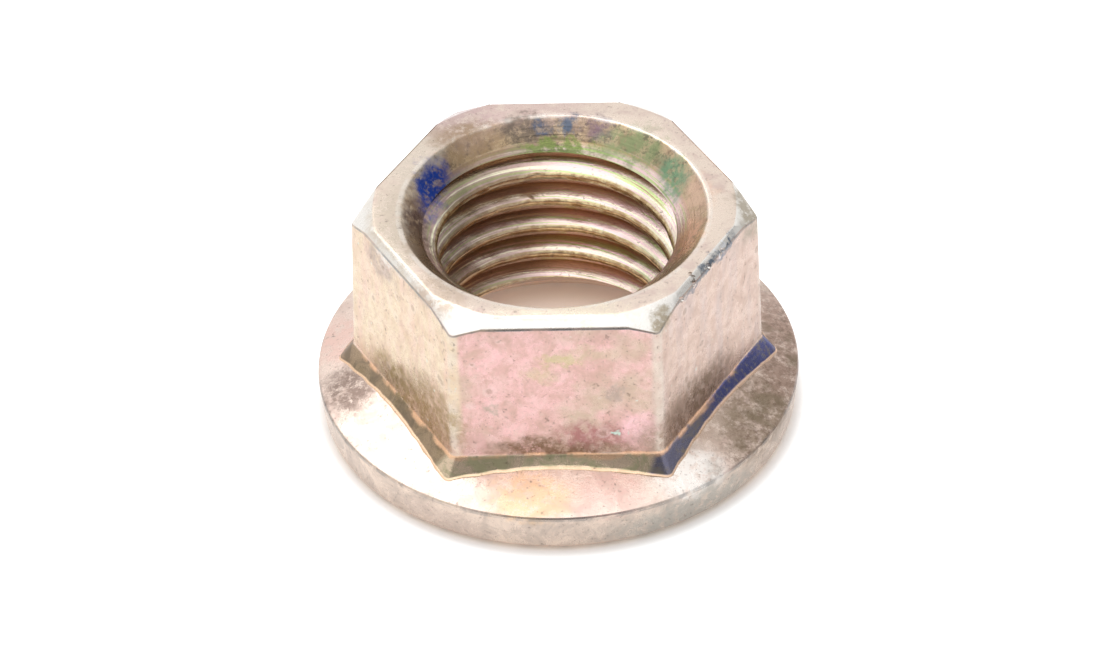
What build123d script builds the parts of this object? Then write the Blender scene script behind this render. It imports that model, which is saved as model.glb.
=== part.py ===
from build123d import *
from math import cos, radians, tan
import os

os.makedirs("parts", exist_ok=True)

# Serrated flange nut, M10 fine thread on a 13 mm hexagon, cold forged in one piece.
# Millimetres, +Z up. Origin: on the nut's axis, in the plane its serrations rest on.
# Two flats of the hexagon face -Y and +Y.

# --- driving sizes ---
across_flats = 13.0        # hexagon, measured at its top
nut_height = 8.9           # serration tips to top face
flange_diameter = 18.1     # widest part of the rim
bore_diameter = 8.76       # crests of the thread, as tapped
hex_draft = 1.5            # degrees the forged flats lean in, going up
hex_edge_round = 0.3       # radius on the six upright edges
top_countersink = 1.3      # 45 degree lead-in at the top of the thread
top_ring_width = 0.42      # flat ring round that lead-in
top_chamfer_angle = 27.0   # degrees the corner chamfer falls from the level
bottom_lead = 1.1          # 45 degree lead-in at the lower end of the thread
dish_height = 1.05         # shallow dish under the flange, below that lead-in
dish_width = 1.17
crease_height = 2.75       # where the flats turn out into the foot
foot_flare = 39.0          # degrees the foot's corners lean out from the upright
foot_bow = 0.5             # how far each foot side bows out at its root
rim_height = 1.7           # top of the rim
rim_taper = 7.0            # degrees the rim leans in, going down
rim_edge_round = 0.12      # radius on the rim's upper edge
flange_slope = 18.5        # degrees the flange climbs towards the hexagon
lower_bevel_height = 0.25  # bevel between rim and bearing face
lower_bevel_width = 0.6
serration_count = 36       # ratchet teeth round the bearing face
serration_depth = 0.22     # at the outer end of a tooth
serration_land = 0.18      # share of the tooth pitch left flat at its tip
serration_bite = 0.07      # share of a gap taken up by its steep face

# --- sizes that follow ---
bore_radius = bore_diameter / 2
rim_radius = flange_diameter / 2
rim_foot_radius = rim_radius - (rim_height - lower_bevel_height) * tan(radians(rim_taper))
bearing_radius = rim_foot_radius - lower_bevel_width
chamfer_start = bore_radius + top_countersink + top_ring_width
dish_radius = bore_radius + bottom_lead + dish_width
crease_apothem = across_flats / 2 + (nut_height - crease_height) * tan(radians(hex_draft))
foot_drop = crease_height - rim_height
foot_corner = crease_apothem / cos(radians(30)) + foot_drop * tan(radians(foot_flare))
foot_middle = foot_corner * cos(radians(30)) + foot_bow
core_radius = crease_apothem * 0.7
core_height = rim_height + (rim_radius - core_radius) * tan(radians(flange_slope))
chamfer_reach = foot_corner * 1.1
chamfer_foot = nut_height - (chamfer_reach - chamfer_start) * tan(radians(top_chamfer_angle))
tooth_pitch = 360 / serration_count

# One tooth gap of the ratchet serrations: a steep face that bites when the nut is turned back,
# and a long ramp that slides when it is tightened. Both run out towards the axis, so every
# tooth tip is a radial land of the bearing face.
with BuildPart() as tooth_gap:
    for share in (0.5, 1.1):
        ray = bearing_radius * share
        gap_width = ray * tan(radians(tooth_pitch)) * (1 - serration_land)
        deepest = (gap_width * serration_bite, serration_depth * share)
        with BuildSketch(Plane.YZ.offset(ray)):
            with BuildLine():
                Polyline((0, 0), (gap_width, 0), deepest, close=True)
            make_face()
    loft()

with BuildPart() as flange_nut:
    # hexagon, with the forging draft, its six upright edges slightly rounded
    with BuildSketch(Plane.XY.offset(crease_height)):
        RegularPolygon(crease_apothem, 6, major_radius=False)
    extrude(amount=nut_height - crease_height, taper=hex_draft)
    fillet(
        flange_nut.edges().filter_by(lambda e: abs(e.center().Z - (nut_height + crease_height) / 2) < 0.5),
        hex_edge_round,
    )

    # corner chamfer: a cone turned over the top of the hexagon, which leaves an arc on each flat
    with BuildSketch(Plane.XZ):
        with BuildLine():
            Polyline(
                (0, crease_height),
                (chamfer_reach, crease_height),
                (chamfer_reach, chamfer_foot),
                (chamfer_start, nut_height),
                (0, nut_height),
                close=True,
            )
        make_face()
    revolve(axis=Axis.Z, mode=Mode.INTERSECT)

    # foot: the hexagon flares out with gently bowed sides until it runs into the flange
    with BuildSketch(Plane.XY.offset(rim_height)):
        with BuildLine():
            for side in range(6):
                corner = Vector(foot_corner, 0).rotate(Axis.Z, 60 * side)
                middle = Vector(foot_middle, 0).rotate(Axis.Z, 60 * side + 30)
                ThreePointArc(corner, middle, corner.rotate(Axis.Z, 60))
        make_face()
    with BuildSketch(Plane.XY.offset(crease_height)):
        RegularPolygon(crease_apothem, 6, major_radius=False)
    loft()

    # flange: a conical washer with a slightly tapered rim and a bevel under it
    with BuildSketch(Plane.XZ):
        with BuildLine():
            Polyline(
                (0, 0),
                (bearing_radius, 0),
                (rim_foot_radius, lower_bevel_height),
                (rim_radius, rim_height),
                (core_radius, core_height),
                (0, core_height),
                close=True,
            )
        make_face()
    revolve(axis=Axis.Z)
    rim_edge = flange_nut.edges().filter_by(GeomType.CIRCLE).sort_by(lambda e: e.radius)[-1]
    fillet(rim_edge, rim_edge_round)

    # bore to the thread's crests, with a turned lead-in at each end and a dish under the flange
    Hole(bore_radius)
    chamfer(flange_nut.faces().sort_by(Axis.Z)[-1].inner_wires().edges(), top_countersink)
    with BuildSketch(Plane.XZ):
        with BuildLine():
            Polyline(
                (0, 0),
                (dish_radius, 0),
                (dish_radius - dish_width, dish_height),
                (bore_radius, dish_height + bottom_lead),
                (0, dish_height + bottom_lead),
                close=True,
            )
        make_face()
    revolve(axis=Axis.Z, mode=Mode.SUBTRACT)

    # serrations round the bearing face
    with PolarLocations(0, serration_count):
        add(tooth_gap.part, mode=Mode.SUBTRACT)

flange_nut.part.label = "flange_nut"
export_step(flange_nut.part, "parts/flange_nut.step")
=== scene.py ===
from math import cos, pi, radians, sin, tan

import bpy
from mathutils import Matrix, Vector


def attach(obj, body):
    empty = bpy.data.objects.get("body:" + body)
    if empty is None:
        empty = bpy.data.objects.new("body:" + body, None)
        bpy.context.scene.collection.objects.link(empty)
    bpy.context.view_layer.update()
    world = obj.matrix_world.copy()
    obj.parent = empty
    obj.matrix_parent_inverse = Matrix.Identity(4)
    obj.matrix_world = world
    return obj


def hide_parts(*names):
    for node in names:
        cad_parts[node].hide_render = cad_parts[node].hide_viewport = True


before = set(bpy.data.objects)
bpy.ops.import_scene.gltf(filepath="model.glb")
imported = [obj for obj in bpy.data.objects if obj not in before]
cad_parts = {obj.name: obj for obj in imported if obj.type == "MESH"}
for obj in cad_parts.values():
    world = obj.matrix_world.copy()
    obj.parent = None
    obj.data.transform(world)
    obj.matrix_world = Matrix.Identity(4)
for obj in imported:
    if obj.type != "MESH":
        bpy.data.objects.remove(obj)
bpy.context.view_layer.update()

# ---------------------------------------------------------------------------
# Camera: a long lens on a stand, looking down at the nut from its front.
# The nut is turned a degree from square, and the camera leans a little to one side.
look_height = 4.29 * 0.001  # the point on the nut's axis that the camera looks at, in metres
stand_off = 216.0 * 0.001
look_down = radians(39.384)
look_round = radians(1.02)
lean = radians(-1.587)

ahead = Vector((0, cos(look_down), -sin(look_down)))
sideways = Vector((1, 0, 0))
upwards = sideways.cross(ahead)
leaning_side = sideways * cos(lean) + upwards * sin(lean)
leaning_up = -sideways * sin(lean) + upwards * cos(lean)
turn = Matrix.Rotation(look_round, 3, "Z")
axes = Matrix((turn @ leaning_side, turn @ leaning_up, turn @ -ahead)).transposed()
bpy.ops.object.camera_add()
camera = bpy.context.object
stand = Vector((0, 0, look_height)) - turn @ ahead * stand_off
camera.matrix_world = Matrix.Translation(stand) @ axes.to_4x4()
camera.data.lens = 189.6
camera.data.sensor_width = 36
camera.data.shift_x = -0.00617
camera.data.shift_y = -0.01685
camera.data.clip_start = 0.01
camera.data.clip_end = 10
bpy.context.scene.camera = camera
bpy.context.scene.view_settings.view_transform = "Standard"

# ---------------------------------------------------------------------------
# Serrated flange nut: steel wire cropped, cold forged to a hexagon on a flange, pierced,
# tapped M10 x 1.25 right-hand, zinc plated and passivated yellow. It is modelled in
# millimetres and brought to metres at the end.
across_flats = 13.0
height = 8.9
crease = 2.75  # where the flats turn out into the foot
draft = tan(radians(1.5))
rim_radius = 9.05
rim_top = 1.7
rim_taper = tan(radians(7))
bevel_top = 0.25
bevel_width = 0.6
rim_foot = rim_radius - (rim_top - bevel_top) * rim_taper
bearing_radius = rim_foot - bevel_width
flange_slope = tan(radians(18.5))
crest_radius = 4.38
root_radius = 5.0
pitch = 1.25


def nothing_selected():
    if bpy.context.mode != "OBJECT":
        bpy.ops.object.mode_set(mode="OBJECT")
    bpy.ops.object.select_all(action="DESELECT")


def select_where(test, kind="VERT"):
    """In edit mode: selects the vertices, edges or faces that pass the test, and nothing else."""
    bpy.ops.mesh.select_all(action="DESELECT")
    bpy.ops.mesh.select_mode(type=kind)
    bpy.ops.object.mode_set(mode="OBJECT")
    mesh = bpy.context.object.data
    for part in {"VERT": mesh.vertices, "EDGE": mesh.edges, "FACE": mesh.polygons}[kind]:
        part.select = test(part)
    bpy.ops.object.mode_set(mode="EDIT")


def turned(name, rings, sides=240, centre=(0.0, 0.0)):
    """A round blank, drawn up from a disc ring by ring, as on a lathe. rings are (radius, height)."""
    nothing_selected()
    radius, level = rings[0]
    bpy.ops.mesh.primitive_circle_add(
        vertices=sides, radius=radius, fill_type="NGON", location=(*centre, level)
    )
    piece = bpy.context.object
    piece.name = name
    bpy.ops.object.transform_apply(location=True, rotation=False, scale=False)
    bpy.ops.object.mode_set(mode="EDIT")
    bpy.ops.mesh.select_all(action="SELECT")
    for next_radius, next_level in rings[1:]:
        bpy.ops.mesh.extrude_region_move(TRANSFORM_OT_translate={"value": (0, 0, next_level - level)})
        grow = next_radius / radius
        bpy.ops.transform.resize(value=(grow, grow, 1), center_override=(*centre, next_level))
        radius, level = next_radius, next_level
    bpy.ops.mesh.select_all(action="SELECT")
    bpy.ops.mesh.normals_make_consistent(inside=False)
    bpy.ops.object.mode_set(mode="OBJECT")
    return piece


def shaped_by(piece, tool, how="DIFFERENCE"):
    """Cuts the piece with the tool, joins them, or keeps what they share. The tool is used up."""
    nothing_selected()
    bpy.context.view_layer.objects.active = piece
    piece.select_set(True)
    step = piece.modifiers.new("shape", "BOOLEAN")
    step.operation = how
    step.solver = "EXACT"
    step.object = tool
    bpy.ops.object.modifier_apply(modifier=step.name)
    bpy.data.objects.remove(tool)


def drawn_hexagon(name, rings, per_side=8):
    """A hexagonal blank, drawn up from a disc ring by ring. rings are (half the width across
    flats, height, bow of the sides)."""
    same_level = 1e-4
    same_angle = 1e-3

    def reach(ring, away):
        # radius of a ring at an angle away from the middle of a flat
        half_width, level, bow = ring
        return half_width / cos(away) + bow * cos(3 * away)

    nothing_selected()
    bpy.ops.mesh.primitive_circle_add(
        vertices=6 * per_side,
        radius=1,
        fill_type="NGON",
        location=(0, 0, rings[0][1]),
        rotation=(0, 0, pi / 2),
    )
    piece = bpy.context.object
    piece.name = name
    bpy.ops.object.transform_apply(location=True, rotation=True, scale=False)
    bpy.ops.object.mode_set(mode="EDIT")
    before = None
    for ring in rings:
        if before:
            select_where(lambda f: f.center.z > before[1] - same_level and f.normal.z > 0.99, "FACE")
            rise = ring[1] - before[1]
            bpy.ops.mesh.extrude_region_move(TRANSFORM_OT_translate={"value": (0, 0, rise)})
        for step in range(per_side // 2 + 1):
            away = step * 2 * pi / (6 * per_side)
            grow = reach(ring, away) / (reach(before, away) if before else 1)

            def here(v):
                angle = Vector(v.co.xy).angle_signed(Vector((0, -1)), 0) % (pi / 3)
                off_middle = min(angle, pi / 3 - angle)
                return abs(v.co.z - ring[1]) < same_level and abs(off_middle - away) < same_angle

            select_where(here)
            bpy.ops.transform.resize(value=(grow, grow, 1), center_override=(0, 0, ring[1]))
        before = ring
    bpy.ops.mesh.select_all(action="SELECT")
    bpy.ops.mesh.normals_make_consistent(inside=False)
    bpy.ops.object.mode_set(mode="OBJECT")
    return piece


# The hexagon with its forging draft, and the foot that it flares into, its sides a little bowed.
# It stands a little into the flange, and a little higher than the finished nut.
foot_flare = tan(radians(39))
foot_bow = 0.5
sunk = 0.2
spare = 1.0
upright_round = 0.16
crease_round = 0.1
hex_foot = across_flats / 2 + (height - crease) * draft
foot_corner = hex_foot / cos(pi / 6) + (crease - rim_top) * foot_flare
nut = drawn_hexagon(
    "flange_nut_forged",
    [
        (foot_corner * cos(pi / 6) + 0.05, rim_top - sunk, foot_bow),
        (hex_foot, crease, 0.0),
        (across_flats / 2 - spare * draft, height + spare, 0.0),
    ],
)


def on_corner(v):
    angle = Vector(v.co.xy).angle_signed(Vector((1, 0)), 0)
    return abs((angle + pi / 6) % (pi / 3) - pi / 6) < 1e-3


bpy.ops.object.mode_set(mode="EDIT")
corner_points = {v.index for v in nut.data.vertices if on_corner(v)}
select_where(lambda e: all(i in corner_points for i in e.vertices), "EDGE")
bpy.ops.mesh.bevel(offset=upright_round, offset_type="OFFSET", segments=4, profile=0.5)
select_where(lambda e: all(abs(nut.data.vertices[i].co.z - crease) < 0.02 for i in e.vertices), "EDGE")
bpy.ops.mesh.bevel(offset=crease_round, offset_type="OFFSET", segments=3, profile=0.5)
bpy.ops.object.mode_set(mode="OBJECT")

# Corner chamfer: a cone turned over the hexagon's top, and the break of the six top edges, both
# a little off centre as the forging die left them.
die_shift = 0.21
die_foot = 1.0
die_radius = 12.0
chamfer_fall = tan(radians(31.8))
chamfer_start = 6.685
die_wall = height - (die_radius - chamfer_start) * chamfer_fall
chamfer_die = turned(
    "chamfer_die",
    [(die_radius, die_foot), (die_radius, die_wall), (chamfer_start, height)],
    sides=288,
    centre=(0.0, die_shift),
)
shaped_by(nut, chamfer_die, "INTERSECT")
edge_break = 6.34
edge_break_fall = 0.908
edge_break_foot = edge_break + (height - die_foot) / edge_break_fall
edge_die = drawn_hexagon("edge_die", [(edge_break_foot, die_foot, 0.0), (edge_break, height, 0.0)])
nothing_selected()
edge_die.select_set(True)
bpy.ops.transform.translate(value=(0, die_shift, 0))
bpy.ops.object.transform_apply(location=True, rotation=False, scale=False)
shaped_by(nut, edge_die, "INTERSECT")

# The sharp edges that the dies left at the top are broken. Points closer together than the
# break is wide are merged before it, or its ends would stand up as spikes.
break_width = 0.07
break_floor = 7.9
bpy.ops.object.mode_set(mode="EDIT")
bpy.ops.mesh.select_all(action="SELECT")
bpy.ops.mesh.dissolve_limited(angle_limit=radians(0.3))
bpy.ops.mesh.remove_doubles(threshold=0.04)
bpy.ops.mesh.select_all(action="DESELECT")
bpy.ops.mesh.select_mode(type="EDGE")
bpy.ops.mesh.edges_select_sharp(sharpness=radians(24))
bpy.ops.object.mode_set(mode="OBJECT")
for e in nut.data.edges:
    if min(nut.data.vertices[i].co.z for i in e.vertices) < break_floor:
        e.select = False
bpy.ops.object.mode_set(mode="EDIT")
bpy.ops.mesh.bevel(offset=break_width, offset_type="OFFSET", segments=3, profile=0.5)
bpy.ops.object.mode_set(mode="OBJECT")

# Flange: a conical washer with a rim that tapers in below, and a bevel under the rim.
cone_end = 4.9  # the cone climbs to this radius, inside the hexagon
flange = turned(
    "flange_blank",
    [
        (bearing_radius - 0.05, 0.0),
        (bearing_radius, 0.0),
        (rim_foot - 0.1, bevel_top - 0.06),
        (rim_foot - 0.02, bevel_top),
        (rim_foot + 0.02, bevel_top + 0.1),
        (rim_radius - 0.03, rim_top - 0.14),
        (rim_radius - 0.035, rim_top - 0.06),
        (rim_radius - 0.08, rim_top),
        (rim_radius - 0.17, rim_top + 0.045),
        (cone_end, rim_top + (rim_radius - cone_end) * flange_slope),
    ],
    sides=288,
)
shaped_by(nut, flange, "UNION")

# Bore: pierced through, with a lead-in turned at each end, its upper lip rounded, and a shallow
# dish under the flange.
pierced = 4.2
dish = [(6.76, -0.1), (6.65, 0.0), (5.48, 1.05)]
lower_lead_top = 2.33
upper_lead_foot = 7.42
upper_lead_end = (5.62, 8.841)
lip = 0.2
lip_radius, lip_level = 5.762, 8.7  # middle of the lip's round
bore = turned(
    "piercing",
    dish
    + [(pierced, lower_lead_top), (pierced, upper_lead_foot), upper_lead_end]
    + [(lip_radius - lip * cos(radians(a)), lip_level + lip * sin(radians(a))) for a in (60, 75, 88)]
    + [(5.9, 9.3)],
    sides=288,
)
shaped_by(nut, bore)


def outline(name, points):
    """A thin outline in the XZ plane, drawn from point to point."""
    nothing_selected()
    bpy.ops.mesh.primitive_plane_add(size=0.1, location=(points[0][0], 0, points[0][1]))
    piece = bpy.context.object
    piece.name = name
    bpy.ops.object.transform_apply(location=True, rotation=False, scale=False)
    bpy.ops.object.mode_set(mode="EDIT")
    bpy.ops.mesh.select_mode(type="VERT")
    bpy.ops.mesh.select_all(action="SELECT")
    bpy.ops.mesh.merge(type="CENTER")
    for (x, z), (next_x, next_z) in zip(points[:-1], points[1:]):
        bpy.ops.mesh.extrude_region_move(TRANSFORM_OT_translate={"value": (next_x - x, 0, next_z - z)})
    bpy.ops.object.mode_set(mode="OBJECT")
    return piece


# Thread: the tap's own form, one pitch of its outline screwed up through the bore. The crests
# it leaves are flat, and a little torn at their edges.
crest_width = 0.26
flank_lean = tan(radians(32))
flank_rise = (root_radius - crest_radius) * flank_lean
turns = 12
steps_per_turn = 160
crest_at_back = 6.87  # height of one crest at the back; the screw starts eight turns below it
thread_start = crest_at_back - pitch * 90 / 360 - 8 * pitch
crest_end = thread_start + crest_width
next_turn = thread_start + pitch
crest_flat = crest_radius + 0.01
crest_burr = crest_radius - 0.02
on_flank = 0.2  # how far up the flank its one middle point is
tap = outline(
    "tap",
    [
        (crest_flat, thread_start),
        (crest_burr, thread_start + 0.04),
        (crest_flat, thread_start + 0.10),
        (crest_flat, crest_end - 0.10),
        (crest_burr, crest_end - 0.04),
        (crest_radius + 0.03, crest_end + 0.02),
        (crest_radius + on_flank, crest_end + on_flank * flank_lean),
        (root_radius, crest_end + flank_rise),
        (root_radius, next_turn - flank_rise),
        (crest_radius + on_flank, next_turn - on_flank * flank_lean),
        (crest_flat, next_turn),
    ],
)
screw = tap.modifiers.new("screw", "SCREW")
screw.axis = "Z"
screw.angle = 2 * pi
screw.screw_offset = pitch
screw.iterations = turns
screw.steps = screw.render_steps = steps_per_turn
bpy.ops.object.modifier_apply(modifier=screw.name)
bpy.ops.object.mode_set(mode="EDIT")
bpy.ops.mesh.select_all(action="SELECT")
bpy.ops.mesh.remove_doubles(threshold=0.003)
# both open ends are drawn out to a point, which closes the tap
middle = height / 2
for low_end in (True, False):
    bpy.ops.mesh.select_mode(type="EDGE")
    bpy.ops.mesh.select_all(action="DESELECT")
    bpy.ops.mesh.select_non_manifold(
        extend=False,
        use_wire=False,
        use_boundary=True,
        use_multi_face=False,
        use_non_contiguous=False,
        use_verts=False,
    )
    bpy.ops.object.mode_set(mode="OBJECT")
    for e in tap.data.edges:
        if e.select and (tap.data.vertices[e.vertices[0]].co.z < middle) != low_end:
            e.select = False
    bpy.ops.object.mode_set(mode="EDIT")
    bpy.ops.mesh.extrude_region_move(TRANSFORM_OT_translate={"value": (0, 0, -1.0 if low_end else 1.0)})
    bpy.ops.mesh.merge(type="CENTER")
bpy.ops.mesh.select_all(action="SELECT")
bpy.ops.mesh.normals_make_consistent(inside=False)
bpy.ops.object.mode_set(mode="OBJECT")
shaped_by(nut, tap)

# The crests are torn a little by the tap: cloudy ups and downs of a few hundredths.
torn_reach = crest_radius + 0.08
torn_from, torn_to = 2.4, 7.7
torn = nut.vertex_groups.new(name="crests")
on_crest = [
    v.index
    for v in nut.data.vertices
    if Vector(v.co.xy).length < torn_reach and torn_from < v.co.z < torn_to
]
torn.add(on_crest, 1.0, "REPLACE")
tearing = bpy.data.textures.new("tearing", "CLOUDS")
tearing.noise_scale = 0.55
tearing.noise_depth = 4
for direction, strength in (("Z", 0.1), ("X", 0.05)):
    tear = nut.modifiers.new("tear", "DISPLACE")
    tear.texture = tearing
    tear.texture_coords = "LOCAL"
    tear.vertex_group = torn.name
    tear.direction = direction
    tear.strength = strength
    tear.mid_level = 0.5
    nothing_selected()
    bpy.context.view_layer.objects.active = nut
    bpy.ops.object.modifier_apply(modifier=tear.name)
nut.vertex_groups.clear()

# Serrations under the flange: one ratchet gap, copied all round, then pressed in together. Each
# gap has a steep face that bites and a long ramp, and runs out towards the axis.
serrations = 36
gap_share = 0.82  # share of the pitch that a gap takes up, the rest is the tooth's flat tip
bite = 0.07  # share of a gap that its steep face takes up
below = -0.3
inner, outer = bearing_radius * 0.5, bearing_radius * 1.1
wide = outer * tan(2 * pi / serrations) * gap_share
deep = 0.22 * 1.1
first_gap = outline("tooth_gap", [(0, below), (0, 0), (wide * bite, deep), (wide, 0), (wide, below)])
bpy.ops.object.mode_set(mode="EDIT")
bpy.ops.mesh.select_all(action="SELECT")
bpy.ops.mesh.edge_face_add()
bpy.ops.transform.translate(value=(0, -outer, 0))
bpy.ops.mesh.extrude_region_move(TRANSFORM_OT_translate={"value": (0, outer - inner, 0)})
shrink = inner / outer
bpy.ops.transform.resize(value=(shrink, 1, shrink), center_override=(0, -inner, 0))
bpy.ops.mesh.select_all(action="SELECT")
bpy.ops.mesh.normals_make_consistent(inside=False)
bpy.ops.object.mode_set(mode="OBJECT")
tooth_gaps = [first_gap]
for number in range(1, serrations):
    nothing_selected()
    first_gap.select_set(True)
    bpy.context.view_layer.objects.active = first_gap
    bpy.ops.object.duplicate(linked=False)
    gap = bpy.context.object
    gap.data.transform(Matrix.Rotation(2 * pi * number / serrations, 4, "Z"))
    tooth_gaps.append(gap)
nothing_selected()
for gap in tooth_gaps:
    gap.select_set(True)
bpy.context.view_layer.objects.active = first_gap
bpy.ops.object.join()
shaped_by(nut, first_gap)

# Knocks from handling, along the edge of the chamfer: place, radius, squash, turn.
knocks = (
    (5.12, -4.2, 8.70, 0.16, 0.6, 0.4),
    (5.66, -3.22, 8.70, 0.2, 0.8, 1.1),
    (6.20, -2.32, 8.72, 0.16, 0.8, 0.2),
    (4.62, -5.0, 8.62, 0.16, 0.7, 0.3),
)
for x, y, z, size, squash, turned_by in knocks:
    nothing_selected()
    bpy.ops.mesh.primitive_ico_sphere_add(
        subdivisions=3, radius=size, location=(x, y, z), rotation=(turned_by, 0.5, turned_by * 2)
    )
    knock = bpy.context.object
    knock.scale = (1.0, squash, 0.7)
    bpy.ops.object.transform_apply(location=True, rotation=True, scale=True)
    shaped_by(nut, knock)

# The seams that the cuts left are closed, and the nut is brought from millimetres to metres.
bpy.ops.object.mode_set(mode="EDIT")
bpy.ops.mesh.select_all(action="SELECT")
bpy.ops.mesh.remove_doubles(threshold=0.0005)
bpy.ops.object.mode_set(mode="OBJECT")
nothing_selected()
nut.select_set(True)
bpy.context.view_layer.objects.active = nut
nut.scale = (0.001, 0.001, 0.001)
bpy.ops.object.transform_apply(location=True, rotation=True, scale=True)
bpy.ops.object.shade_smooth_by_angle(angle=radians(25))

# Yellow passivated zinc: bright metal under a film so thin that it shows the colours of oil on water,
# pale where it is thin, and olive, rose or navy where it is thick. Some highlights, reflections and
# shade are painted into its colour too, each said where it stands. Places are in millimetres from the
# middle of the bearing face.
zinc = bpy.data.materials.new("yellow_zinc")
zinc.use_nodes = True
tree = zinc.node_tree


def node(kind, sockets=None, **settings):
    """Adds a node to the tree in hand. sockets gives each input its value, or the output that
    feeds it."""
    made = tree.nodes.new("ShaderNode" + kind)
    for name, setting in settings.items():
        setattr(made, name, setting)
    for name, given in (sockets or {}).items():
        if isinstance(given, bpy.types.NodeSocket):
            tree.links.new(given, made.inputs[name])
        else:
            made.inputs[name].default_value = given
    return made


def worked(how, *terms):
    return node("Math", dict(enumerate(terms)), operation=how).outputs[0]


def product(*masks):
    result = masks[0]
    for mask in masks[1:]:
        result = worked("MULTIPLY", result, mask)
    return result


def vector_worked(how, one, other):
    return node("VectorMath", {0: one, 1: other}, operation=how).outputs["Vector"]


def length(vector):
    return node("VectorMath", {0: vector}, operation="LENGTH").outputs["Value"]


def dot(one, other):
    return node("VectorMath", {0: one, 1: other}, operation="DOT_PRODUCT").outputs["Value"]


def stretched(place, scale, rotation=(0, 0, 0)):
    sockets = {"Vector": place, "Scale": scale, "Rotation": rotation}
    return node("Mapping", sockets).outputs["Vector"]


def soft_step(source, low, high):
    """A mask that goes smoothly from 0 at low to 1 at high, either of which may be the larger."""
    sockets = {"Value": source, "From Min": low, "From Max": high}
    return node("MapRange", sockets, interpolation_type="SMOOTHSTEP").outputs["Result"]


def mixed_value(mask, under, over):
    return node("Mix", {0: mask, 2: under, 3: over}, data_type="FLOAT").outputs[0]


def mixed(mask, under, over, how="MIX"):
    return node("Mix", {0: mask, 6: under, 7: over}, data_type="RGBA", blend_type=how).outputs[2]


def grain(place, fineness, detail=3.0, roughness=0.55, distortion=0.0):
    """Cloudy noise between 0 and 1; fineness is how many clouds to the millimetre, roughly."""
    sockets = {"Vector": place, "Scale": fineness, "Detail": detail, "Roughness": roughness}
    sockets["Distortion"] = distortion
    return node("TexNoise", sockets).outputs["Fac"]


def tint(red, green, blue):
    """A colour as a paint chart gives it, 0 to 255, as the linear numbers that a shader takes."""
    return tuple(((c / 255 + 0.055) / 1.055) ** 2.4 for c in (red, green, blue)) + (1.0,)


spot = node("TexCoord")
place = stretched(spot.outputs["Object"], (1000, 1000, 1000))  # metres to millimetres
where = node("SeparateXYZ", {0: place})
facing = node("SeparateXYZ", {0: spot.outputs["Normal"]}).outputs["Z"]
up = where.outputs["Z"]
radius = length(vector_worked("MULTIPLY", place, (1, 1, 0)))
# how far out a point is towards each of the three flats that meet at the front
to_front = dot(place, (0, -1, 0))
to_left = dot(place, (-0.866, -0.5, 0))
to_right = dot(place, (0.866, -0.5, 0))

# ragged places: the same point, pushed about by cloudy noise, so that no stain has a ruled edge
pushed_about = 1.3
noise = {"Vector": place, "Scale": 1.6, "Detail": 4.0, "Roughness": 0.65}
push = vector_worked("SUBTRACT", node("TexNoise", noise).outputs["Color"], (0.5, 0.5, 0.5))
push = node("VectorMath", {0: push, "Scale": pushed_about}, operation="SCALE").outputs["Vector"]
ragged = vector_worked("ADD", place, push)

cloud = grain(place, 0.35, 4.0, 0.6)
mottle = grain(place, 1.1, 6.0, 0.7, 0.6)
speckle = grain(place, 4.5, 4.0, 0.7)

# which part of the nut a point is on, from its radius, its height and how far it faces up
outside = soft_step(radius, 6.0, 6.2)
upright = soft_step(facing, 0.5, 0.2)
level = soft_step(facing, 0.84, 0.9)
on_flats = product(outside, upright, soft_step(up, 2.6, 2.9))
off_rim = soft_step(radius, 8.75, 8.65)
slanting = product(soft_step(facing, 0.25, 0.45), soft_step(facing, 0.88, 0.82))
on_foot = product(outside, off_rim, slanting, soft_step(up, 3.1, 2.9))
on_cone = product(outside, level, soft_step(up, 3.4, 3.2))
on_rim = product(soft_step(radius, 8.3, 8.5), soft_step(facing, 0.7, 0.4), soft_step(up, 2.0, 1.9))
on_top = product(soft_step(facing, 0.62, 0.7), soft_step(up, 7.9, 8.0), soft_step(radius, 5.6, 5.8))
on_chamfer = product(on_top, soft_step(facing, 0.97, 0.9), soft_step(radius, 6.0, 6.2))
inside = soft_step(radius, 5.95, 5.8)
on_countersink = product(inside, soft_step(up, 7.3, 7.5), soft_step(facing, 0.96, 0.85))
in_thread = soft_step(radius, 5.04, 4.99)

# the film all over, cream to rose, with greyer clouds in it
film = mixed(soft_step(cloud, 0.35, 0.65), tint(232, 212, 190), tint(226, 194, 184))
film = mixed(soft_step(mottle, 0.5, 0.75), film, tint(205, 186, 172))

# each flat at the front has its own colour
front_flat = product(on_flats, soft_step(to_front, 6.2, 6.4))
left_flat = product(on_flats, soft_step(to_left, 6.2, 6.4))
right_flat = product(on_flats, soft_step(to_right, 6.2, 6.4))
rose = mixed(soft_step(mottle, 0.34, 0.66), tint(243, 196, 194), tint(216, 178, 166))
rose = mixed(soft_step(cloud, 0.48, 0.66), rose, tint(212, 188, 168))
cream = mixed(soft_step(mottle, 0.35, 0.7), tint(240, 222, 194), tint(224, 200, 172))
shell = mixed(soft_step(mottle, 0.35, 0.65), tint(228, 204, 190), tint(210, 184, 170))
wiped = grain(stretched(place, (1.6, 1.6, 0.3), (0.35, 0, 0)), 1.0, 3.0)
wiped = soft_step(wiped, 0.42, 0.72)
shell = mixed(product(wiped, 0.5), shell, tint(206, 192, 190))
cream = mixed(product(wiped, 0.6), cream, tint(236, 202, 186))
film = mixed(front_flat, film, rose)
film = mixed(left_flat, film, cream)
film = mixed(right_flat, film, shell)
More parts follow.
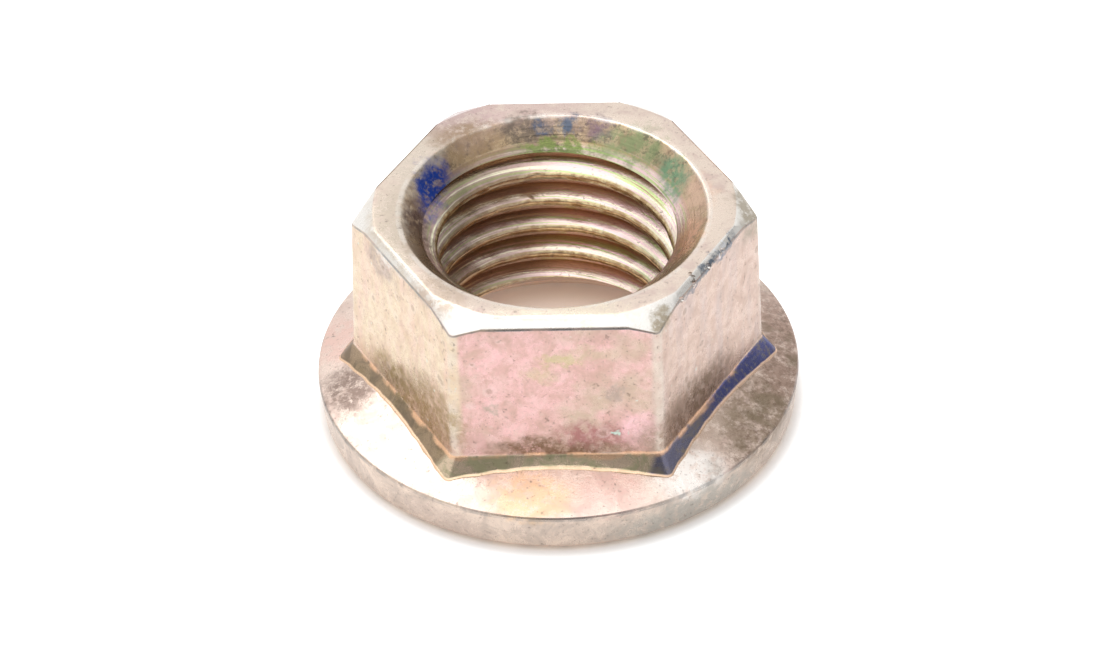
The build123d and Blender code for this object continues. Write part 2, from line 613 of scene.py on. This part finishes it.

# flange, rim, top, chamfer and countersink: each has a pale colour, and a darker one in its clouds; the
# chamfer is near white in both, a painted highlight
parts = (
    (on_cone, 0.4, 0.65, (238, 218, 205), (222, 198, 186)),
    (on_rim, 0.35, 0.65, (238, 218, 202), (204, 188, 176)),
    (on_top, 0.45, 0.7, (236, 219, 204), (214, 192, 182)),
    # painted highlight: the chamfer near white all over
    (on_chamfer, 0.45, 0.7, (246, 242, 236), (246, 242, 236)),
    (on_countersink, 0.4, 0.6, (202, 178, 146), (160, 136, 112)),
)
for mask, cloud_from, cloud_to, pale, dark in parts:
    clouded = mixed(soft_step(mottle, cloud_from, cloud_to), tint(*pale), tint(*dark))
    film = mixed(mask, film, clouded)

# darker specks over the upper back of the countersink
countersink_back_specks = soft_step(grain(place, 3.0, 6.0, 0.8), 0.5, 0.6)
countersink_back_specks = product(on_countersink, countersink_back_specks, soft_step(up, 7.9, 8.4), soft_step(where.outputs["Y"], 0.5, 3.0))
film = mixed(product(countersink_back_specks, 0.8), film, tint(92, 82, 74))

# Streaks run along the thread: the noise is fine across a flank and slow along it. Its flanks are cream
# and rose with thin green and brown lines, pale as a painted highlight; its crests are duller, torn
# metal with a painted reflection of the dark bore, and painted shade darkens its roots, the faces
# turned down and its back-left side.
along = stretched(place, (0.25, 0.25, 0.35))
across = node("CombineXYZ", {0: worked("MULTIPLY", radius, 9.0), 1: 0.0, 2: 0.0}).outputs[0]
drawn = grain(vector_worked("ADD", along, across), 1.0, 3.0, 0.6)
flank = mixed(soft_step(drawn, 0.38, 0.5), tint(250, 244, 214), tint(246, 214, 214))
flank = mixed(soft_step(drawn, 0.54, 0.6), flank, tint(206, 222, 160))
flank = mixed(soft_step(drawn, 0.64, 0.7), flank, tint(190, 154, 132))
film = mixed(in_thread, film, flank)
crest = product(in_thread, soft_step(radius, 4.46, 4.42))
root = product(in_thread, soft_step(radius, 4.8, 4.97))
crest_clouds = soft_step(grain(place, 3.0, 4.0, 0.7), 0.4, 0.6)
# the crests duller: torn metal, and a painted reflection of the dark bore
film = mixed(crest, film, mixed(crest_clouds, tint(184, 154, 116), tint(226, 206, 164)))
# painted shade in the thread's roots
film = mixed(product(root, 0.7), film, tint(190, 150, 114))
# painted shade on the faces of the thread turned down
under_flank = product(in_thread, soft_step(facing, -0.2, -0.5))
film = mixed(product(under_flank, 0.7), film, tint(200, 166, 136))
shaded_side = product(in_thread, soft_step(dot(place, (-0.8, 0.6, 0.0)), 2.4, 4.0))
film = mixed(product(shaded_side, soft_step(drawn, 0.3, 0.5), 0.7), film, tint(146, 126, 108))

# Stains where the film dried thick, bare places where it was knocked or rubbed off, and some painted
# light and shade, said where it stands: middle, reach along x, y and z, colour, strength.
stains_and_painted_light = (
    # front flat
    ((0.2, -6.55, 7.1), (0.9, 2, 0.35), (200, 190, 136), 0.8),
    ((-0.6, -6.55, 6.5), (0.7, 2, 0.35), (206, 190, 148), 0.6),
    ((1.2, -6.55, 7.4), (1.2, 2, 0.4), (206, 192, 160), 0.5),
    # the front flat darker towards its foot
    ((0.0, -6.6, 3.1), (3.0, 2, 0.6), (140, 112, 92), 1.0),
    ((1.4, -6.6, 3.7), (1.5, 2, 0.6), (180, 128, 124), 1.0),
    ((-3.3, -6.6, 3.3), (0.9, 2, 0.6), (230, 188, 184), 0.9),
    ((3.0, -6.6, 3.9), (0.8, 2, 0.8), (255, 208, 212), 1.0),
    ((-2.41, -6.6, 4.99), (0.42, 2, 0.34), (190, 172, 158), 0.9),
    ((2.21, -6.6, 5.64), (0.46, 2, 0.4), (186, 166, 154), 0.9),
    ((2.11, -6.63, 3.87), (0.12, 2, 0.12), (206, 226, 214), 1.0),
    ((2.62, -6.63, 3.7), (0.1, 2, 0.1), (206, 226, 214), 1.0),
    # left flat; the first two darken its lower part towards the foot, a painted shade
    ((-4.4, -5.7, 3.9), (1.6, 2.3, 1.5), (160, 136, 96), 0.85),
    ((-5.8, -3.4, 3.4), (2.0, 2.6, 0.9), (158, 136, 90), 0.9),
    ((-6.4, -2.0, 8.1), (1.0, 1.3, 0.7), (192, 174, 160), 0.95),
    # right flat; both darken its lower part towards the foot, a painted shade
    ((4.5, -5.6, 3.3), (2.0, 3.2, 1.5), (164, 140, 122), 0.9),
    ((5.7, -3.6, 3.4), (1.4, 2.0, 1.0), (136, 114, 96), 0.8),
    # flange; the first two and the fourth make its right side browner, a painted shade
    ((7.4, -3.6, 1.95), (2.2, 2.8, 1.2), (158, 138, 120), 0.9),
    ((8.4, -0.2, 1.9), (1.4, 3.0, 1.0), (160, 134, 120), 0.85),
    ((4.9, -6.9, 1.95), (1.4, 1.4, 1.0), (252, 246, 240), 0.9),
    ((8.2, 2.4, 1.8), (1.2, 1.8, 1.0), (176, 148, 134), 0.8),
    ((-7.8, -1.9, 2.0), (1.2, 1.5, 0.8), (142, 122, 112), 0.95),
    ((-8.3, 1.2, 1.9), (1.2, 1.6, 0.8), (238, 200, 188), 0.7),
    ((-1.0, -8.1, 2.0), (1.8, 1.2, 0.7), (246, 206, 160), 0.7),
    ((1.8, -8.0, 2.0), (1.6, 1.0, 0.7), (232, 196, 186), 0.7),
    # rim
    ((5.0, -7.4, 0.6), (4.0, 3.0, 1.0), (184, 180, 172), 0.8),
    ((-4.3, -7.8, 0.7), (2.0, 2.0, 0.8), (212, 192, 180), 0.6),
    # top ring and chamfer
    ((-3.6, 5.4, 8.8), (1.8, 1.8, 0.8), (196, 168, 168), 0.7),
    ((-1.0, 6.2, 8.8), (2.6, 1.2, 0.8), (214, 186, 182), 0.6),
    ((-4.2, -4.6, 8.9), (1.4, 1.4, 0.6), (208, 188, 170), 0.9),
    ((-5.9, -1.2, 8.9), (1.2, 3.4, 0.5), (214, 200, 182), 0.8),
    # painted highlight: near white on the left of the chamfer
    ((-6.3, -2.9, 8.65), (0.6, 1.4, 0.4), (244, 242, 236), 0.8),
    ((0.5, -5.9, 8.9), (2.8, 0.7, 0.3), (250, 236, 214), 0.8),
    ((-5.2, 3.2, 8.9), (1.6, 2.0, 0.5), (218, 206, 190), 0.7),
    # painted shade: brown-grey on the right of the chamfer
    ((7.2, 0.3, 8.4), (0.9, 1.6, 0.8), (168, 156, 136), 0.85),
    ((5.75, -3.15, 8.62), (0.6, 1.0, 0.16), (112, 124, 140), 0.95),
    ((6.3, -2.1, 8.66), (0.5, 0.9, 0.14), (112, 124, 140), 0.95),
    ((5.1, -4.3, 8.52), (0.5, 0.9, 0.12), (116, 122, 132), 0.9),
    # painted glints: three small white spots by the knocks
    ((6.1, -1.95, 8.82), (0.14, 0.2, 0.1), (252, 252, 255), 1.0),
    ((5.93, -2.55, 8.8), (0.12, 0.16, 0.1), (250, 250, 255), 1.0),
    ((5.6, -3.1, 8.8), (0.16, 0.3, 0.12), (252, 246, 240), 1.0),
    ((4.98, -4.05, 8.84), (0.2, 0.1, 0.1), (110, 86, 66), 0.9),
    ((3.9, -6.0, 8.5), (0.5, 0.6, 0.5), (176, 162, 138), 0.9),
    # countersink
    ((-4.45, 2.1, 8.3), (0.85, 1.7, 0.8), (34, 66, 156), 1.0),
    ((-5.0, 0.0, 8.3), (0.8, 1.3, 0.9), (84, 60, 52), 0.95),
    ((-4.9, -1.6, 8.3), (0.8, 1.6, 1.0), (156, 128, 104), 0.6),
    ((-3.2, 4.4, 8.6), (1.6, 1.2, 0.8), (160, 134, 98), 0.7),
    ((-1.0, 5.3, 8.6), (1.3, 0.7, 0.5), (112, 100, 88), 0.85),
    ((-0.5, 5.4, 8.5), (0.45, 0.5, 0.3), (96, 104, 124), 0.8),
    ((0.5, 5.4, 8.6), (0.45, 0.6, 0.35), (84, 104, 128), 0.85),
    ((1.7, 5.2, 8.6), (0.7, 0.6, 0.4), (128, 104, 124), 0.75),
    ((0.4, 4.8, 8.0), (2.2, 0.9, 0.3), (132, 150, 84), 0.9),
    ((3.0, 4.3, 8.4), (1.7, 1.2, 0.6), (140, 156, 112), 0.8),
    ((4.5, 2.6, 8.3), (0.8, 1.2, 0.6), (116, 158, 124), 0.85),
    ((5.2, 0.9, 8.6), (0.9, 1.5, 0.8), (226, 190, 168), 0.7),
    ((4.9, -1.2, 8.2), (0.9, 1.4, 0.8), (255, 206, 180), 0.9),
)
broken = mixed_value(soft_step(grain(place, 2.4, 6.0, 0.75), 0.4, 0.52), 0.4, 1.0)
for middle, reach, colour, strength in stains_and_painted_light:
    off_middle = vector_worked("SUBTRACT", ragged, middle)
    away = length(vector_worked("DIVIDE", off_middle, reach))
    film = mixed(product(soft_step(away, 1.25, 0.5), broken, strength), film, tint(*colour))

# finer clouds of the same film over the flats
dark_clouds = soft_step(grain(place, 3.4, 5.0, 0.75), 0.46, 0.66)
film = mixed(product(on_flats, dark_clouds, 0.35), film, tint(196, 164, 150))
pale_clouds = soft_step(grain(place, 2.2, 5.0, 0.75), 0.54, 0.4)
film = mixed(product(on_flats, pale_clouds, 0.18), film, tint(250, 222, 214))

# the foot's film is thick: olive, paler at the front, and navy at the right
# the foot's dark olive is partly its thick film and partly painted shade
foot_film_and_painted_shade = mixed(soft_step(mottle, 0.4, 0.6), tint(150, 130, 100), tint(110, 96, 72))
film = mixed(product(on_foot, 0.85), film, foot_film_and_painted_shade)
front_foot = mixed(soft_step(mottle, 0.4, 0.6), tint(224, 200, 174), tint(180, 172, 138))
film = mixed(product(on_foot, soft_step(to_front, 6.3, 6.6)), film, front_foot)
navy_foot = mixed(soft_step(mottle, 0.42, 0.62), tint(118, 116, 136), tint(136, 126, 116))
right_foot = product(on_foot, soft_step(to_right, 6.3, 6.6))
film = mixed(right_foot, film, navy_foot)
to_the_back = soft_step(dot(ragged, (0.5, 0.866, 0.0)), -2.4, 0.6)
inky = product(right_foot, to_the_back, soft_step(grain(place, 5.0, 4.0, 0.7), 0.66, 0.46))
film = mixed(product(inky, 0.8), film, tint(72, 78, 136))

# how far a point is from the nearest upright edge, where its reach towards two flats is the same
front_reach, left_reach, right_reach = (
    worked("ABSOLUTE", reach) for reach in (to_front, to_left, to_right)
)
widest = worked("MAXIMUM", front_reach, worked("MAXIMUM", left_reach, right_reach))
narrowest = worked("MINIMUM", front_reach, worked("MINIMUM", left_reach, right_reach))
total = worked("ADD", front_reach, worked("ADD", left_reach, right_reach))
second = worked("SUBTRACT", worked("SUBTRACT", total, widest), narrowest)
corner_gap = worked("SUBTRACT", widest, second)

# how high a point is above the flange's cone, which is nothing where the foot meets it
cone_at_axis = rim_top + rim_radius * flange_slope
above_cone = worked("SUBTRACT", up, worked("MULTIPLY_ADD", radius, -flange_slope, cone_at_axis))

# Edges in broken lines: the break round the chamfer and the upright edges are worn through the film;
# the dark line along the rim is a painted reflection, and the pale lines along the lip of the
# countersink and the crease above the foot are painted highlights.
uneven = worked("ADD", up, worked("MULTIPLY", worked("SUBTRACT", grain(place, 0.8, 2.0), 0.5), 0.3))
rolled = product(soft_step(facing, 0.1, 0.25), soft_step(facing, 0.68, 0.5), soft_step(up, 7.6, 7.9))
rim_painted_reflection = product(soft_step(radius, 8.94, 9.0), soft_step(up, 1.5, 1.58), soft_step(up, 1.76, 1.68))
lip_painted_highlight = product(soft_step(radius, 5.58, 5.66), soft_step(radius, 5.88, 5.8))
crease_painted_highlight = product(soft_step(uneven, 2.6, 2.7), soft_step(uneven, 2.86, 2.78))
worn_and_painted_light_edges = (
    # mask, clouds to the millimetre, broken from, strength, colour
    (product(outside, rolled), 1.3, 0.25, 0.75, (142, 146, 148)),
    (product(on_flats, soft_step(corner_gap, 0.3, 0.1)), 1.7, 0.35, 0.5, (232, 222, 208)),
    # painted reflection: a dark line along the top edge of the rim
    (rim_painted_reflection, 1.5, 0.3, 0.5, (124, 126, 128)),
    # painted highlight along the lip of the countersink
    (product(lip_painted_highlight, soft_step(up, 8.64, 8.72)), 1.4, 0.35, 0.4, (244, 240, 232)),
    # painted highlight along the crease above the foot
    (product(outside, crease_painted_highlight), 1.0, 0.4, 0.75, (250, 200, 160)),
)
for edge, fineness, broken_from, strength, colour in worn_and_painted_light_edges:
    broken_line = soft_step(grain(place, fineness), broken_from, 0.6)
    film = mixed(product(edge, broken_line, strength), film, tint(*colour))
# a pale orange line where the foot runs into the flange: a painted highlight on its rolled root
foot_root_painted_highlight = product(on_foot, soft_step(above_cone, 0.07, 0.03))
film = mixed(product(foot_root_painted_highlight, 0.8), film, tint(255, 216, 182))

# fine dark specks and freckles all over, thin on the chamfer, and the right of the flange darker in
# specks and clouds, a painted shade
off_chamfer = mixed_value(on_chamfer, 1.0, 0.15)
specks = product(soft_step(speckle, 0.58, 0.68), soft_step(mottle, 0.42, 0.58))
film = mixed(product(specks, off_chamfer, 0.5), film, tint(124, 104, 92))
freckles = soft_step(grain(place, 9.0, 2.0), 0.64, 0.72)
film = mixed(product(freckles, off_chamfer, 0.35), film, tint(110, 96, 90))
right_flange_painted_shade = product(on_cone, soft_step(dot(place, (0.98, -0.2, 0.0)), 6.1, 8.0))
painted_shade_specks = soft_step(grain(place, 4.2, 6.0, 0.8), 0.44, 0.62)
film = mixed(product(right_flange_painted_shade, painted_shade_specks, 0.7), film, tint(122, 100, 86))
film = mixed(product(right_flange_painted_shade, soft_step(grain(place, 0.9), 0.5, 0.66), 0.6), film, tint(120, 106, 84))

# round marks of dried drops on the flats: a pale ring about a dull middle
drops = node("TexVoronoi", {"Vector": place, "Scale": 1.05, "Randomness": 1.0})
chance = node("SeparateColor", {0: drops.outputs["Color"]})
some = soft_step(chance.outputs[0], 0.4, 0.45)
drop_size = worked("MULTIPLY_ADD", chance.outputs[1], 0.16, 0.08)
drop_size = worked("ADD", drop_size, worked("MULTIPLY", worked("SUBTRACT", speckle, 0.5), 0.12))
spread = worked("DIVIDE", drops.outputs["Distance"], drop_size)
ring = product(soft_step(spread, 0.6, 0.9), soft_step(spread, 1.4, 1.1), some)
dimple = product(soft_step(spread, 0.9, 0.5), some)
film = mixed(product(on_flats, ring, broken, 0.22), film, tint(238, 222, 214))
film = mixed(product(on_flats, dimple, broken, 0.5), film, tint(166, 146, 130))
# and a few small pale chips
chips = product(on_flats, soft_step(grain(place, 2.6, 2.0), 0.72, 0.75))
film = mixed(product(chips, 0.7), film, tint(226, 232, 222))

# surface: grain and pits of the forging all over, wiping marks down the flats, and turning
# rings in the countersink
pits = product(grain(place, 7.0, 5.0, 0.7), 0.5)
streaks = product(grain(stretched(place, (6, 6, 0.5)), 1.0, 3.0), on_flats, 0.5)
ring_place = {0: worked("MULTIPLY", radius, 7.0), 1: worked("MULTIPLY", up, 7.0), 2: 0.0}
rings = grain(node("CombineXYZ", ring_place).outputs[0], 1.0, 2.0)
relief = worked("ADD", pits, streaks)
relief = worked("ADD", relief, product(rings, on_countersink, 0.7))
relief = worked("ADD", relief, product(mottle, 0.6))
grain_depth = 0.03 * 0.001
bump = node("Bump", {"Strength": 0.5, "Distance": grain_depth, "Height": relief})
# the foot is a little rolled where it runs into the flange
root_depth = 0.04 * 0.001
rolled_root = product(on_foot, soft_step(above_cone, 0.08, 0.0))
on_grain = {"Normal": bump.outputs["Normal"]}
bump = node("Bump", {"Strength": 1.0, "Distance": root_depth, "Height": rolled_root, **on_grain})

skin = tree.nodes["Principled BSDF"]
skin.inputs["Metallic"].default_value = 0.92
tree.links.new(film, skin.inputs["Base Color"])
dull = mixed_value(soft_step(mottle, 0.35, 0.75), 0.24, 0.38)
dull = mixed_value(in_thread, dull, 0.21)
tree.links.new(dull, skin.inputs["Roughness"])
tree.links.new(bump.outputs["Normal"], skin.inputs["Normal"])

nut.data.materials.clear()
nut.data.materials.append(zinc)
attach(nut, "root")
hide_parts("flange_nut")

# ---------------------------------------------------------------------------
# Table and light: a plain white table, a wide soft lamp overhead and pale walls all round, with
# the dark of the room where the camera stands and a little of it at the right.
nothing_selected()
bpy.ops.mesh.primitive_plane_add(size=1.2, location=(0, 0, 0))
table = bpy.context.object
table.name = "table"
paper = bpy.data.materials.new("white_table")
paper.use_nodes = True
paper_skin = paper.node_tree.nodes["Principled BSDF"]
paper_skin.inputs["Roughness"].default_value = 0.9
paper_skin.inputs["Specular IOR Level"].default_value = 0.0
tree = paper.node_tree
away = length(node("TexCoord").outputs["Object"])  # in metres from the nut's axis
contact_from, contact_to = 0.0092, 0.0084
shadow_from, shadow_to = 0.0089, 0.0095
pool_from, pool_to = 0.0064, 0.0048
# the paper is painted brown by the nut, a painted warm bounce and contact shade from the metal, and is
# plain white elsewhere
by_the_nut = soft_step(away, contact_from, contact_to)
paper_colour = mixed(by_the_nut, (0.92, 0.92, 0.92, 1), (0.9, 0.8, 0.7, 1))
tree.links.new(paper_colour, paper_skin.inputs["Base Color"])
seen = node("LightPath").outputs["Is Camera Ray"]
# camera rays see the paper glow white beyond the nut's edge and dimmer close to it, a painted contact
# shadow round the nut
glow = mixed_value(product(seen, soft_step(away, shadow_from, shadow_to)), 0.16, 0.55)
# a painted pool of light: the paper glows brighter where light falls through the bore
glow = mixed_value(soft_step(away, pool_from, pool_to), glow, 0.42)
tree.links.new(glow, paper_skin.inputs["Emission Strength"])
# the glow is warm by the nut, a painted warm bounce from the metal
glow_colour = mixed(by_the_nut, (1, 1, 1, 1), (1, 0.88, 0.78, 1))
tree.links.new(glow_colour, paper_skin.inputs["Emission Color"])
table.data.materials.append(paper)

lamp_place = (-0.16, 0.2, 0.36)
nothing_selected()
bpy.ops.object.light_add(type="AREA", location=lamp_place)
lamp = bpy.context.object
lamp.data.size = 0.25
lamp.data.energy = 0.3
lamp.rotation_euler = Vector(lamp_place).to_track_quat("Z", "Y").to_euler()

# pale walls, darker behind the camera and at the right, and a bright ceiling
room = bpy.data.worlds.new("room")
bpy.context.scene.world = room
room.use_nodes = True
tree = room.node_tree
heading = node("TexCoord").outputs["Generated"]
overhead = soft_step(dot(heading, (-0.12, -0.06, 0.99)), 0.80, 0.93)
camera_side = soft_step(dot(heading, (0.0, -0.9, 0.43)), 0.86, 0.93)
right_side = soft_step(dot(heading, (0.88, 0.2, 0.43)), 0.86, 0.97)
wall = mixed_value(camera_side, 0.95, 0.3)
wall = mixed_value(right_side, wall, 0.45)
wall = mixed_value(overhead, wall, 1.55)
brightness = mixed_value(node("LightPath").outputs["Is Camera Ray"], wall, 1.0)
sky = tree.nodes["Background"]
sky.inputs["Color"].default_value = (1, 1, 1, 1)
tree.links.new(brightness, sky.inputs["Strength"])
